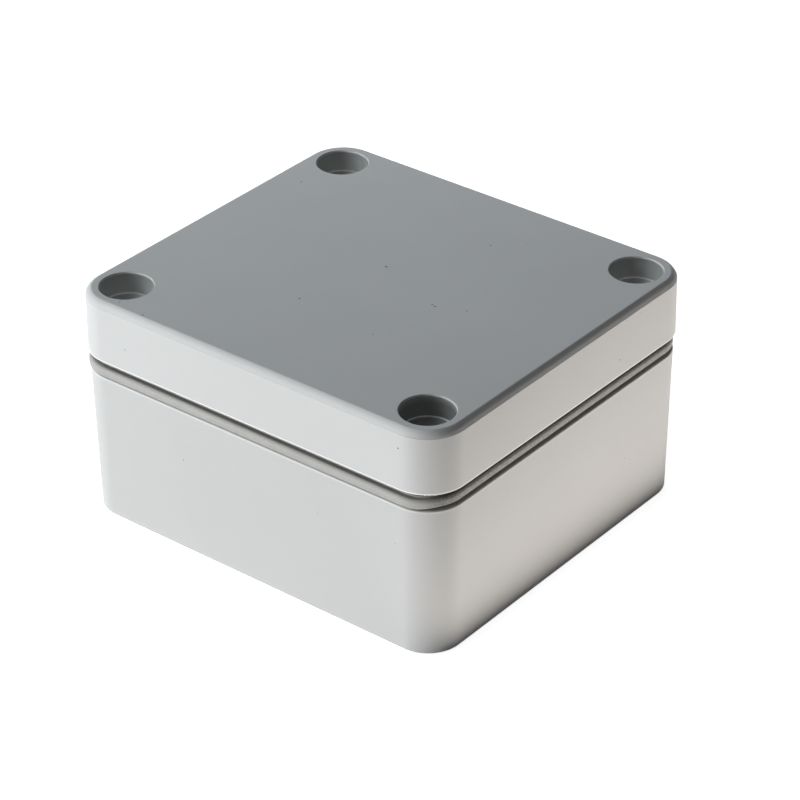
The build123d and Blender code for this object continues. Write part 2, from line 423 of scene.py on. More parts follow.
def seal_material(colours, levels):
    """Smooth elastomer with a mottled bloom, the odd pinched line along its length, painted shade at its foot
    and under the lid, and grainy painted shade along its right side."""
    foot_fade, lid_fade, side_fade = 0.4 * MM, 0.3 * MM, 1.4 * MM
    lid_shadow_height, side_width = 1.9 * MM, 2.6 * MM
    deepest_shade = 0.12
    material, graph, place = new_material("seal_elastomer")
    bloom = noise(graph, place, 3.5 * MM, 4, 0.6)
    surface = noise(graph, place, 0.12 * MM, 2)
    flow = graph.vector("MULTIPLY", place, (0.3, 0.3, 6.0))
    lines = noise(graph, flow, 1.2 * MM, 2)
    mottle = noise(graph, place, 0.7 * MM, 3, 0.7)
    parts = graph.split(place)
    level = parts["Z"]
    # Painted shade: darker at the seal's foot against the shelf and at its top under the lid.
    from_foot = (level - levels.shelf) / foot_fade + mottle * 0.8 - 0.55
    from_lid = (levels.shelf + lid_shadow_height - level) / lid_fade
    unshaded = from_foot.maths("MINIMUM", from_lid).maths("MINIMUM", 1).maths("MAXIMUM", deepest_shade)
    # Painted shade along the seal's right side, broken up by a fine grain.
    side = clamped((parts["X"] - (levels.half_length - side_width)) / side_fade)
    shade_grain = noise(graph, place, 0.25 * MM, 2) * 0.8 + 0.2
    tone = (0.8 + bloom * 0.16 + lines * 0.06 + mottle * 0.2) * unshaded * (1 - side * (1 - shade_grain))
    tint = graph.toned(colours.seal, tone)
    close_material(graph, surface + lines * 0.8, 0.01 * MM,
                   Base_Color=tint, Roughness=0.36 + bloom * 0.16, Specular_IOR_Level=SEAL_GLOSS)
    return material


def distance_from_screw(graph, place):
    """Distance from the nearest screw's axis: the four axes mirror onto one corner."""
    low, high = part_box(f"lid_screw_{CORNERS[-1]}")
    axis = (low + high) / 2
    parts = graph.split(place)
    across = parts["X"].maths("ABSOLUTE") - axis.x
    along = parts["Y"].maths("ABSOLUTE") - axis.y
    return (across * across + along * along).maths("SQRT")


def turned_metal_material(name, tint, roughness, line_size):
    """Turned metal: fine rings about the screw's axis, smears of handling, and small dull spots."""
    material, graph, place = new_material(name)
    radius = distance_from_screw(graph, place)
    lines = (radius * (2 * pi / line_size)).maths("SINE")
    smears = noise(graph, place, 0.9 * MM, 3, 0.6)
    spots = noise(graph, place, 0.25 * MM, 2)
    close_material(graph, lines * 0.5 + spots * 0.5, 0.004 * MM,
                   Base_Color=graph.toned(tint, 0.9 + smears * 0.14), Metallic=1.0,
                   Roughness=roughness + smears * 0.16 - spots * 0.06)
    return material


def rubber_material(colours):
    """Black rubber with a dusty bloom."""
    material, graph, place = new_material("ring_rubber")
    bloom = noise(graph, place, 0.6 * MM, 4, 0.6)
    tint = graph.mix_colour(bloom * 0.25, tuple(colours.rubber), (0.09, 0.09, 0.09))
    roughness = 0.42 + bloom * 0.22
    close_material(graph, bloom, 0.006 * MM, Base_Color=tint, Roughness=roughness)
    return material


# Meshes

def rounded(points, closed=False):
    """A flat line with its corners rounded, from points given as (across, height, radius).
    The first and last points of an open line only give its direction and are left out."""
    line = []
    count = len(points)
    for index in range(count) if closed else range(1, count - 1):
        across, height, radius = points[index]
        corner = Vector((across, height))
        before = Vector(points[index - 1][:2]) - corner
        after = Vector(points[(index + 1) % count][:2]) - corner
        if not radius:
            line.append(corner)
            continue
        half = before.angle(after) / 2
        centre = corner + (before.normalized() + after.normalized()).normalized() * (radius / sin(half))
        start = corner + before.normalized() * (radius / tan(half)) - centre
        end = corner + after.normalized() * (radius / tan(half)) - centre
        turn = -start.angle_signed(end)
        for step in range(BEND_STEPS + 1):
            line.append(centre + Matrix.Rotation(turn * step / BEND_STEPS, 2) @ start)
    return line


def outline_ring(half_length, half_width, radius, height):
    """Points of a rounded rectangle at one height, counter-clockwise."""
    points = []
    for quarter, (side_x, side_y) in enumerate(((1, 1), (-1, 1), (-1, -1), (1, -1))):
        centre = Vector((side_x * (half_length - radius), side_y * (half_width - radius), height))
        for step in range(OUTLINE_STEPS + 1):
            turn = (quarter + step / OUTLINE_STEPS) * pi / 2
            points.append(centre + Vector((cos(turn), sin(turn), 0)) * radius)
    return points


def mesh_object(name, mesh):
    piece = bpy.data.objects.new(name, mesh)
    bpy.context.scene.collection.objects.link(piece)
    return piece


def write_shape(shape, mesh):
    """Merges a bmesh's doubles, turns its faces outwards and writes it to a mesh."""
    bmesh.ops.remove_doubles(shape, verts=shape.verts, dist=1e-7)
    bmesh.ops.recalc_face_normals(shape, faces=shape.faces)
    shape.to_mesh(mesh)
    shape.free()


def from_bmesh(name, shape):
    """A piece made of a bmesh."""
    mesh = bpy.data.meshes.new(name)
    write_shape(shape, mesh)
    return mesh_object(name, mesh)


def turn_outwards(piece):
    """Merges doubles and turns the faces of a plain mesh outwards."""
    shape = bmesh.new()
    shape.from_mesh(piece.data)
    write_shape(shape, piece.data)


def turns_of(steps):
    """The angles of one full turn in steps."""
    return [2 * pi * step / steps for step in range(steps)]


def add_loft(shape, rings, closed=False):
    """A skin through rings of points. It has a flat face at each end, or its last ring joins the first."""
    rows = [[shape.verts.new(point) for point in ring] for ring in rings]
    for lower, upper in zip(rows, rows[1:] + rows[:1] if closed else rows[1:]):
        for index in range(len(lower)):
            following = (index + 1) % len(lower)
            shape.faces.new((lower[index], lower[following], upper[following], upper[index]))
    if not closed:
        shape.faces.new(rows[0])
        shape.faces.new(rows[-1])


def lofted(name, rings, closed=False):
    """A piece that is one skin through rings of points."""
    shape = bmesh.new()
    add_loft(shape, rings, closed)
    return from_bmesh(name, shape)


def add_turned(shape, line, centre, steps=TURN_STEPS):
    """A turned form about an upright axis, from a line of (radius, height), with a flat face at each end."""
    rings = []
    for radius, height in line:
        rings.append([Vector((centre[0] + radius * cos(turn), centre[1] + radius * sin(turn), height))
                      for turn in turns_of(steps)])
    add_loft(shape, rings)


def add_prism(shape, section, start, end, along_y):
    """A straight bar of one section of (across, height), along Y or along X."""
    rings = []
    for run in (start, end):
        rings.append([Vector((x, run, z)) if along_y else Vector((run, x, z)) for x, z in section])
    add_loft(shape, rings)


def combine(target, tool, operation):
    """Joins a tool's closed forms to the target or cuts them away, and removes the tool."""
    modifier = target.modifiers.new("Combine", "BOOLEAN")
    modifier.operation = operation
    modifier.solver = "EXACT"
    modifier.object = tool
    apply_modifiers(target)
    bpy.data.objects.remove(tool)


def apply_modifiers(piece):
    """Turns the piece with its modifiers into a plain mesh."""
    graph = bpy.context.evaluated_depsgraph_get()
    mesh = bpy.data.meshes.new_from_object(piece.evaluated_get(graph), depsgraph=graph)
    piece.modifiers.clear()
    piece.data = mesh


def shade(piece, crease=32):
    """Smooth shading with sharp creases, and flat faces kept flat."""
    piece.data.polygons.foreach_set("use_smooth", [True] * len(piece.data.polygons))
    piece.data.set_sharp_from_angle(angle=radians(crease))
    modifier = piece.modifiers.new("Flat faces", "WEIGHTED_NORMAL")
    modifier.keep_sharp = True
    modifier.weight = 100
    apply_modifiers(piece)


def finish_piece(piece, material, body, nodes):
    """Gives a piece its finish, and puts it on its body in place of its nodes."""
    piece.data.materials.clear()
    piece.data.materials.append(material)
    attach(piece, body)
    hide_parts(*nodes)


def geometry_tree(name, inputs):
    """An empty geometry tree with named inputs; gives the tree, its graph and its inputs as wires."""
    tree = bpy.data.node_groups.new(name, "GeometryNodeTree")
    tree.interface.new_socket(name="Geometry", in_out="INPUT", socket_type="NodeSocketGeometry")
    for label, kind in inputs.items():
        tree.interface.new_socket(name=label, in_out="INPUT", socket_type=f"NodeSocket{kind}")
    tree.interface.new_socket(name="Geometry", in_out="OUTPUT", socket_type="NodeSocketGeometry")
    graph = Graph(tree)
    return tree, graph, graph.add("NodeGroupInput")


def close_tree(graph, geometry, material):
    """Ends a geometry tree: plain meshes with their finish."""
    plain = graph.add("GeometryNodeRealizeInstances", None, {"Geometry": geometry})
    dressed = graph.add("GeometryNodeSetMaterial", None, {"Geometry": plain, "Material": material})
    graph.add("NodeGroupOutput", None, {"Geometry": dressed})


def grow(piece, tree, values):
    """Runs a geometry tree on a piece with the given inputs, and leaves a plain mesh."""
    modifier = piece.modifiers.new(tree.name, "NODES")
    modifier.node_group = tree
    for item in tree.interface.items_tree:
        if item.in_out == "INPUT" and item.name in values:
            modifier[item.identifier] = values[item.name]
    apply_modifiers(piece)
    turn_outwards(piece)


# Places from the frame

def screw_centre(corner):
    """Where a corner's screw stands."""
    low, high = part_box(f"lid_screw_{corner}")
    return (low + high) / 2


class Levels:
    """Heights and half sizes of the shut enclosure, from the frame and the moulding sizes."""

    def __init__(self, sizes):
        lid_low, lid_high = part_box("lid")
        base_low, base_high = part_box("base_box")
        self.half_length = (lid_high.x - lid_low.x) / 2
        self.half_width = (lid_high.y - lid_low.y) / 2
        self.top = lid_high.z
        self.lug_tip = lid_low.z
        self.underside = base_low.z
        self.tongue_top = base_high.z
        self.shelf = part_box("lid_seal")[0].z
        self.lid_bottom = self.shelf + sizes.seam_height
        self.joint_ceiling = self.tongue_top + sizes.closing_gap
        self.roof = self.top - sizes.lid_roof
        self.corner_radius = sizes.corner_radius
        self.tongue_inset = sizes.base_inset + sizes.shelf_width
        self.cavity_inset = sizes.base_inset + sizes.base_wall

    def ring(self, inset, height):
        """The lid's outline moved inwards, at one height."""
        return outline_ring(
            self.half_length - inset, self.half_width - inset, self.corner_radius - inset, height
        )


def from_section(name, levels, points):
    """A piece that follows the lid's outline all round, from a section of (inset, height, radius)."""
    return lofted(name, [levels.ring(inset, height) for inset, height in rounded(points)])


# Base moulding

BOARD_HOLE_RADIUS = 1.1 * MM
BOARD_BOSS_RADIUS = 2.8 * MM
BOARD_BOSS_TOP = 7.5 * MM
BOARD_BOSS_PLACES = [(x * 22 * MM, y * 15 * MM) for x in (-1, 1) for y in (-1, 1)]
SLOT_PLACES = [x * 12 * MM for x in (-1, 1)]
FOOT_BORDER = 4.4 * MM
FOOT_RECESS = 0.4 * MM
BASE_EJECTORS = ((-9, 0), (9, 0), (0, -19), (0, 19), (-25, 0), (25, 0))
EJECTOR_RADIUS = 2 * MM
EJECTOR_DEPTH = 0.06 * MM
BASE_SPECKS = [
    speck(-12.0, -28.6, 15.0, 0.12, (1, 0.1, 1)),
    speck(31.6, 14.0, 11.0, 0.12, (0.1, 1, 1)),
]


def base_shell(sizes, levels):
    """The tub: drafted outside, shelf, tongue and drafted cavity with a rounded floor."""
    foot_inset = sizes.base_inset + levels.shelf * tan(sizes.base_draft)
    floor = levels.underside + sizes.base_floor
    cavity_floor_inset = levels.cavity_inset + (levels.tongue_top - floor) * tan(INNER_DRAFT)
    rim_radius, floor_radius, lead_in = 0.26 * MM, 1.0 * MM, 0.2 * MM
    return from_section("base_moulding", levels, [
        (foot_inset + AWAY, levels.underside, 0),
        (foot_inset, levels.underside, sizes.foot_edge),
        (sizes.base_inset, levels.shelf, rim_radius),
        (levels.tongue_inset, levels.shelf, FINE_EDGE),
        (levels.tongue_inset, levels.tongue_top - lead_in, 0),
        (levels.tongue_inset + lead_in, levels.tongue_top, 0),
        (levels.cavity_inset, levels.tongue_top, FINE_EDGE),
        (cavity_floor_inset, floor, floor_radius),
        (cavity_floor_inset + AWAY, floor, 0),
    ])


def foot_cutter(levels):
    """The shallow panel in the underside, chamfered round its roof."""
    radius = levels.corner_radius - 0.25 * MM
    rings = []
    for inset, height in ((FOOT_BORDER, -CLEAR), (FOOT_BORDER, FOOT_RECESS - FINE_EDGE),
                          (FOOT_BORDER + FINE_EDGE, FOOT_RECESS)):
        rings.append(outline_ring(levels.half_length - inset, levels.half_width - inset, radius, height))
    return lofted("foot_cutter", rings)


def add_board_slots(shape, levels, sunk):
    """Two pairs of tapered ribs on the front and the back wall, each pair with a slot between."""
    rib_gap, rib_foot, rib_tip = 0.9 * MM, 1.0 * MM, 0.75 * MM
    rib_top = levels.shelf - 3 * MM
    wall = levels.half_width - levels.cavity_inset
    reach, root = 1.4 * MM, 0.8 * MM
    for middle in SLOT_PLACES:
        for side in (-1, 1):
            near = middle + side * rib_gap
            far = near + side * rib_foot
            section = [(near, sunk), (far, sunk), (far, rib_top - 0.3 * MM), (near + side * rib_tip, rib_top),
                       (near + side * FINE_EDGE, rib_top), (near, rib_top - FINE_EDGE)]
            for back in (-1, 1):
                add_prism(shape, section, back * (wall - reach), back * (wall + root), True)


def base_additions(sizes, levels):
    """What stands in the tub: screw pillars, board bosses and the ribs of the board slots."""
    floor = levels.underside + sizes.base_floor
    sunk = floor - SUNK
    shape = bmesh.new()
    for corner in CORNERS:
        add_turned(shape, [(sizes.pillar_radius, sunk), (sizes.pillar_radius, levels.tongue_top)],
                   screw_centre(corner))
    root, taper, rim_radius = 0.4 * MM, 0.08 * MM, 0.15 * MM
    boss = rounded([
        (BOARD_BOSS_RADIUS + root, sunk - CLEAR, 0),
        (BOARD_BOSS_RADIUS + root, sunk, 0),
        (BOARD_BOSS_RADIUS + root, floor + 0.02 * MM, 0),
        (BOARD_BOSS_RADIUS, floor + root, 0),
        (BOARD_BOSS_RADIUS - taper, BOARD_BOSS_TOP, rim_radius),
        (0.1 * MM, BOARD_BOSS_TOP, 0),
    ])
    for place in BOARD_BOSS_PLACES:
        add_turned(shape, boss, place, steps=48)
    add_board_slots(shape, levels, sunk)
    return from_bmesh("base_additions", shape)


def add_ejector_marks(shape, places, low, high):
    """The round marks of the mould's ejectors, at places in millimetres."""
    for x, y in places:
        add_turned(shape, [(EJECTOR_RADIUS, low), (EJECTOR_RADIUS, high)], (x * MM, y * MM), steps=48)


def base_bores(sizes, levels):
    """Bores for the inserts and the board screws, and the marks of the ejectors."""
    insert_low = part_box(f"threaded_insert_{CORNERS[0]}")[0].z
    insert_radius, pilot_radius, pilot_depth = 2.32 * MM, 1.8 * MM, 9 * MM
    shape = bmesh.new()
    for corner in CORNERS:
        line = [(pilot_radius, levels.tongue_top - pilot_depth), (pilot_radius, insert_low),
                (insert_radius, insert_low), (insert_radius, levels.tongue_top + CLEAR)]
        add_turned(shape, line, screw_centre(corner), steps=64)
    hole_depth, lead_in, cutter_top = 6 * MM, 0.3 * MM, 9 * MM
    mouth_radius = BOARD_HOLE_RADIUS + lead_in
    for place in BOARD_BOSS_PLACES:
        line = [(BOARD_HOLE_RADIUS, BOARD_BOSS_TOP - hole_depth),
                (BOARD_HOLE_RADIUS, BOARD_BOSS_TOP - lead_in),
                (mouth_radius, BOARD_BOSS_TOP), (mouth_radius, cutter_top)]
        add_turned(shape, line, place, steps=48)
    floor = levels.underside + sizes.base_floor
    add_ejector_marks(shape, BASE_EJECTORS, floor - EJECTOR_DEPTH, floor + CLEAR)
    return from_bmesh("base_bores", shape)


def gate_mark():
    """The trimmed gate in the middle of the underside's panel."""
    tip, tip_radius, tip_edge = 0.12 * MM, 0.8 * MM, 0.08 * MM
    root, root_radius = FOOT_RECESS + SUNK, 1.0 * MM
    line = rounded([(0, tip, 0), (0.05 * MM, tip, 0), (tip_radius, tip + 0.02 * MM, tip_edge),
                    (root_radius, root, 0), (0, root, 0)])
    shape = bmesh.new()
    add_turned(shape, line, (0, 0), steps=40)
    return from_bmesh("gate_mark", shape)


class ENCLOSURE_OT_base_moulding(bpy.types.Operator):
    """Build the base: a drafted tub with pillars, bosses and board slots"""

    bl_idname = "enclosure.base_moulding"
    bl_label = "Base Moulding"

    def execute(self, context):
        sizes = context.scene.enclosure_mouldings
        levels = Levels(sizes)
        piece = base_shell(sizes, levels)
        combine(piece, foot_cutter(levels), "DIFFERENCE")
        combine(piece, gate_mark(), "UNION")
        combine(piece, base_additions(sizes, levels), "UNION")
        combine(piece, base_bores(sizes, levels), "DIFFERENCE")
        shade(piece)
        # A painted highlight line along the base's top edge.
        edges = [(levels.shelf - 2 * HIGHLIGHT_LINE, None, 0.25)]
        colours = context.scene.enclosure_colours
        material = plastic_material("base_plastic", colours.base, colours.dust, BASE_SPECKS, edges, levels)
        finish_piece(piece, material, "base", ["base_box"])
        return {"FINISHED"}


# Lid moulding

# Angles of the creases above and below the arc of the top edge
TOP_CREASE = radians(28)
SIDE_CREASE = radians(28)
RECESS_DRAFT = radians(3.4)
LID_EJECTORS = ((-14, -12), (14, -12), (-14, 12), (14, 12))
# Beads of flash under the near corner, as their angle round the corner and their radius
FLASH_BEADS = ((35, 0.12 * MM), (40, 0.11 * MM), (48, 0.13 * MM), (56, 0.08 * MM))
LID_SPECKS = [
    speck(-27.0, 14.8, 35.0, 0.16),
    speck(-1.45, 2.7, 35.0, 0.26, (0.8, 1.2, 0.1)),
    speck(-5.2, -11.4, 35.0, 0.2),
    speck(-18.95, -27.8, 35.0, 0.18),
    speck(-23.95, -26.9, 35.0, 0.13),
    speck(-23.8, -27.2, 35.0, 0.12),
    speck(8.7, -12.75, 35.0, 0.12),
    speck(6.2, 16.4, 35.0, 0.17),
    speck(14.75, -0.1, 35.0, 0.16),
    speck(10.0, -1.6, 35.0, 0.17, (1, 0.8, 0.1)),
    speck(10.6, -1.8, 35.0, 0.2, (0.6, 1.2, 0.1)),
    speck(25.9, -28.9, 31.9, 0.16, (1, 0.1, 1)),
    speck(-21.55, -28.9, 29.15, 0.13, (1, 0.1, 1)),
    speck(31.9, 11.5, 28.2, 0.15, (0.1, 1, 1)),
]


def lid_shell(sizes, levels):
    """The cap: rebate, lower edge, drafted wall, top edge in a shallow arc that meets wall and top in a
    crease, with a fine parting line, drafted inside."""
    lean = tan(sizes.lid_draft)
    rebate_inset = levels.tongue_inset - sizes.joint_clearance
    roof_inset = sizes.lid_wall + (levels.roof - levels.joint_ceiling) * tan(INNER_DRAFT)
    roof_radius, top_radius, parting_step = 0.8 * MM, 0.4 * MM, 0.075 * MM
    parting = levels.top - sizes.top_edge
    edge_radius = sizes.top_edge / (cos(TOP_CREASE) - sin(SIDE_CREASE))
    reach = edge_radius * tan((pi / 2 - TOP_CREASE - SIDE_CREASE) / 2)
    turn_inset = (parting - levels.lid_bottom) * lean + reach * sin(SIDE_CREASE)

    def wall_inset(height):
        return (height - levels.lid_bottom) * lean

    return from_section("lid_moulding", levels, [
        (roof_inset + AWAY, levels.roof, 0),
        (roof_inset, levels.roof, roof_radius),
        (sizes.lid_wall, levels.joint_ceiling, SOFT_EDGE),
        (rebate_inset, levels.joint_ceiling, FINE_EDGE),
        (rebate_inset, levels.lid_bottom, SOFT_EDGE),
        (0, levels.lid_bottom, sizes.lower_edge),
        (wall_inset(parting - 2 * parting_step), parting - 2 * parting_step, 0),
        (wall_inset(parting) + parting_step, parting - parting_step, 0),
        (wall_inset(parting), parting, 0),
        (turn_inset, parting + reach * cos(SIDE_CREASE), edge_radius * 0.7),
        (turn_inset + reach * cos(TOP_CREASE), levels.top, top_radius),
        (AWAY, levels.top, 0),
    ])


def add_locating_lugs(shape, sizes, levels, sunk):
    """A lug on a web in the middle of each side, which drops in behind the base's tongue."""
    outer = levels.cavity_inset + sizes.joint_clearance
    inner = outer + 1.2 * MM
    web = sizes.lid_wall - SUNK
    tip = 0.35 * MM
    profile = [(web, sunk), (web, levels.joint_ceiling), (outer, levels.joint_ceiling),
               (outer, levels.lug_tip + tip), (outer + tip, levels.lug_tip),
               (inner - tip / 2, levels.lug_tip), (inner, levels.lug_tip + tip / 2), (inner, sunk)]
    for half, run, along_y in ((levels.half_length, 7 * MM, True), (levels.half_width, 8 * MM, False)):
        for side in (-1, 1):
            section = [(side * (half - inset), height) for inset, height in profile]
            add_prism(shape, section, -run, run, along_y)


def add_flash(shape, levels):
    """Beads of flash under the near corner."""
    inset = 0.15 * MM
    centre = Vector((levels.half_length - levels.corner_radius, levels.corner_radius - levels.half_width, 0))
    for turn, size in FLASH_BEADS:
        out = Vector((sin(radians(turn)), -cos(radians(turn)), 0)) * (levels.corner_radius - inset)
        place = centre + out + Vector((0, 0, levels.lid_bottom))
        bmesh.ops.create_icosphere(shape, subdivisions=2, radius=size, matrix=Matrix.Translation(place))


def lid_additions(sizes, levels):
    """Bosses round the screw holes, the locating lugs, and beads of flash."""
    sunk = levels.roof + SUNK
    shape = bmesh.new()
    for corner in CORNERS:
        line = rounded([(0, levels.joint_ceiling, 0), (0.1 * MM, levels.joint_ceiling, 0),
                        (sizes.boss_radius, levels.joint_ceiling, FINE_EDGE), (sizes.boss_radius, sunk, 0),
                        (0, sunk, 0)])
        add_turned(shape, line, screw_centre(corner))
    add_locating_lugs(shape, sizes, levels, sunk)
    add_flash(shape, levels)
    return from_bmesh("lid_additions", shape)


def ledge_radius(sizes):
    """Radius of the drafted screw recess at its ledge."""
    return sizes.recess_radius - sizes.recess_depth * tan(RECESS_DRAFT)


def lid_bores(sizes, levels):
    """The stepped screw holes, and the marks of the ejectors under the roof."""
    ledge = levels.top - sizes.recess_depth
    inner_radius = ledge_radius(sizes)
    head_radius, shank_radius, seat = 2.8 * MM, 1.75 * MM, levels.top - 7.4 * MM
    lead_in, shoulder, shoulder_drop = 0.6 * MM, 0.1 * MM, 0.12 * MM
    rim = 0.16 * MM
    rim_end = sizes.recess_radius + rim + 0.05 * MM
    flush = levels.top + 0.004 * MM
    line = rounded([
        (0, levels.lid_bottom - CLEAR, 0),
        (shank_radius, levels.lid_bottom - CLEAR, 0),
        (shank_radius, seat, FINE_EDGE),
        (head_radius, seat, FINE_EDGE),
        (head_radius, ledge - lead_in, SOFT_EDGE),
        (inner_radius - shoulder, ledge - shoulder_drop, FINE_EDGE),
        (inner_radius, ledge, 0.05 * MM),
        (sizes.recess_radius, flush, rim),
        (rim_end, flush, 0),
        (rim_end, levels.top + CLEAR, 0),
        (0, levels.top + CLEAR, 0),
    ])
    shape = bmesh.new()
    for corner in CORNERS:
        add_turned(shape, line, screw_centre(corner), steps=96)
    add_ejector_marks(shape, LID_EJECTORS, levels.roof - CLEAR, levels.roof + EJECTOR_DEPTH)
    return from_bmesh("lid_bores", shape)


class ENCLOSURE_OT_lid_moulding(bpy.types.Operator):
    """Build the lid: a shallow cap with stepped screw holes and locating lugs"""

    bl_idname = "enclosure.lid_moulding"
    bl_label = "Lid Moulding"

    def execute(self, context):
        sizes = context.scene.enclosure_mouldings
        levels = Levels(sizes)
        piece = lid_shell(sizes, levels)
        combine(piece, lid_additions(sizes, levels), "UNION")
        combine(piece, lid_bores(sizes, levels), "DIFFERENCE")
        shade(piece)
        # Painted highlight lines along the lid's lower edge, the rims of the screw recesses and the ledges in
        # them.
        edges = [(levels.lid_bottom + HIGHLIGHT_LINE, None, 0.7),
                 (levels.top - 1.5 * HIGHLIGHT_LINE, sizes.recess_radius, 0.7),
                 (levels.top - sizes.recess_depth, ledge_radius(sizes), 1.0)]
        colours = context.scene.enclosure_colours
        material = plastic_material("lid_plastic", colours.lid, colours.dust, LID_SPECKS, edges, levels)
        finish_piece(piece, material, "lid", ["lid"])
        return {"FINISHED"}


# Seal

# How far the right side is pulled in and its bead lifted, from where and over what length it is pulled, and
# the height over which the lift sets in, with the share of that height where it starts
SEAL_PULL = 0.35 * MM
SEAL_LIFT = 0.3 * MM
PULL_START = 4.6 * MM
PULL_RUN = 4.2 * MM
LIFT_RUN = 0.9 * MM
LIFT_START = 0.15


def seam_tree():
    """Sweeps a closed section round a rounded rectangle."""
    tree, graph, inputs = geometry_tree("Sweep round the seam", {
        "Length": "Float", "Width": "Float", "Corner Radius": "Float", "Corner Steps": "Int",
        "Height": "Float", "Material": "Material",
    })
    rectangle = graph.add("GeometryNodeCurvePrimitiveQuadrilateral", {"mode": "RECTANGLE"},
                          {"Width": inputs["Length"], "Height": inputs["Width"]})
    path = graph.add("GeometryNodeFilletCurve", {"mode": "POLY"},
                     {"Curve": rectangle, "Count": inputs["Corner Steps"], "Radius": inputs["Corner Radius"]})
    level_path = graph.add("GeometryNodeSetCurveNormal", {"mode": "Z_UP"}, {"Curve": path})
    section = graph.add("GeometryNodeMeshToCurve", None, {"Mesh": inputs["Geometry"]})
    placed = graph.lifted(graph.skin(level_path, section), inputs["Height"])
    close_tree(graph, placed, inputs["Material"])
    return tree


def seal_section(levels):
    """The seal's section as a closed line: rounded bead outside, squeezed neck behind it.
    Across is measured outwards from the tongue, height upwards from the shelf."""
    low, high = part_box("lid_seal")
    bead = levels.tongue_inset - (levels.half_length - (high.x - low.x) / 2)
    foot, lip, lip_height = 0.62 * MM, 0.55 * MM, 0.06 * MM
    bead_low, bead_high, shoulder = 0.3 * MM, 1.55 * MM, 1.5 * MM
    neck = 0.5 * MM
    neck_top = levels.lid_bottom - levels.shelf - 0.1 * MM
    return rounded([
        (0, 0, 0),
        (bead - foot, 0, 0.05 * MM),
        (bead - lip, lip_height, 0),
        (bead, bead_low, 0.3 * MM),
        (bead, bead_high, 0.55 * MM),
        (neck, shoulder, 0.05 * MM),
        (neck, neck_top, 0.08 * MM),
        (0, neck_top, 0),
    ], closed=True)


def draw_in(piece, levels):
    """Pulls the seal's right side in against the tongue and its bead up, as it lies in the photograph."""
    start = levels.half_length - PULL_START
    for vertex in piece.data.vertices:
        reach = min(max((vertex.co.x - start) / PULL_RUN, 0), 1)
        share = reach * reach * (3 - 2 * reach)
        below_lid = (levels.lid_bottom - vertex.co.z) / LIFT_RUN
        vertex.co.x -= SEAL_PULL * share
        vertex.co.z += SEAL_LIFT * share * min(max(below_lid - LIFT_START, 0), 1)


class ENCLOSURE_OT_lid_seal(bpy.types.Operator):
    """Build the elastomer seal in the seam"""

    bl_idname = "enclosure.lid_seal"
    bl_label = "Lid Seal"

    def execute(self, context):
        sizes = context.scene.enclosure_mouldings
        levels = Levels(sizes)
        section = seal_section(levels)
        mesh = bpy.data.meshes.new("seal_section")
        edges = [(index, (index + 1) % len(section)) for index in range(len(section))]
        mesh.from_pydata([(across, -height, 0) for across, height in section], edges, [])
        piece = mesh_object("seam_seal", mesh)
        material = seal_material(context.scene.enclosure_colours, levels)
        grow(piece, seam_tree(), {
            "Length": 2 * (levels.half_length - levels.tongue_inset),
            "Width": 2 * (levels.half_width - levels.tongue_inset),
            "Corner Radius": levels.corner_radius - levels.tongue_inset,
            "Corner Steps": OUTLINE_STEPS,
            "Height": levels.shelf,
            "Material": material,
        })
        draw_in(piece, levels)
        shade(piece, 50)
        finish_piece(piece, material, "base", ["lid_seal"])
        return {"FINISHED"}


# Screws, sealing rings and inserts

# Height of each knurled band of an insert, and how much of a thread's ridge is left at its ends
KNURL_BAND = 1.5 * MM
THREAD_END = 0.05


def thread_tree():
    """Winds a thread's ridge round a turned body and moves both to their place."""
    tree, graph, inputs = geometry_tree("Wind a thread", {
        "Place": "Vector", "Start": "Float", "Length": "Float", "Pitch": "Float", "Root Radius": "Float",
        "Ridge": "Float", "Material": "Material",
    })
    turns = inputs["Length"] / inputs["Pitch"]
    helix = graph.add("GeometryNodeCurveSpiral", None, {
        "Resolution": 32, "Rotations": turns, "Start Radius": inputs["Root Radius"],
        "End Radius": inputs["Root Radius"], "Height": inputs["Length"]})
    upright = graph.add("GeometryNodeSetCurveNormal", {"mode": "Z_UP"}, {"Curve": helix})
    along = graph.add("GeometryNodeSplineParameter")["Factor"] * turns
    run_in = along.maths("MINIMUM", turns - along).maths("MINIMUM", 1.0).maths("MAXIMUM", THREAD_END)
    tapered = graph.add("GeometryNodeSetCurveRadius", None, {"Curve": upright, "Radius": run_in})
    ridge = graph.circle(4, inputs["Ridge"])
    thread = graph.lifted(graph.skin(tapered, ridge, Fill_Caps=True), inputs["Start"])
    placed = graph.moved(graph.joined(thread, inputs["Geometry"]), inputs["Place"])
    close_tree(graph, placed, inputs["Material"])
    return tree


def screw_body(sizes):
    """The turned screw on the axis: head with a cross recess, undercut shank, core of the thread."""
    low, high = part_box(f"lid_screw_{CORNERS[0]}")
    head_radius, head_height = (high.x - low.x) / 2, 2.0 * MM
    undercut_radius, undercut_length = 1.2 * MM, 2.2 * MM
    tip_inset, tip_height, run_out = 0.35 * MM, 0.4 * MM, 0.3 * MM
    underhead = high.z - head_height
    undercut_end = underhead - undercut_length
    core = sizes.thread_radius - sizes.thread_depth
    shape = bmesh.new()
    add_turned(shape, rounded([
        (0, low.z, 0),
        (0.1 * MM, low.z, 0),
        (core - tip_inset, low.z, 0.08 * MM),
        (core, low.z + tip_height, 0),
        (core, undercut_end - run_out, 0),
        (undercut_radius, undercut_end, 0),
        (undercut_radius, underhead, SOFT_EDGE),
        (head_radius, underhead, SOFT_EDGE),
        (head_radius, high.z, sizes.head_edge),
        (0.1 * MM, high.z, 0),
        (0, high.z, 0),
    ]), (0, 0), steps=64)
    body = from_bmesh("screw_body", shape)
    combine(body, drive_cutter(sizes, high.z), "DIFFERENCE")
    return body, low.z, undercut_end


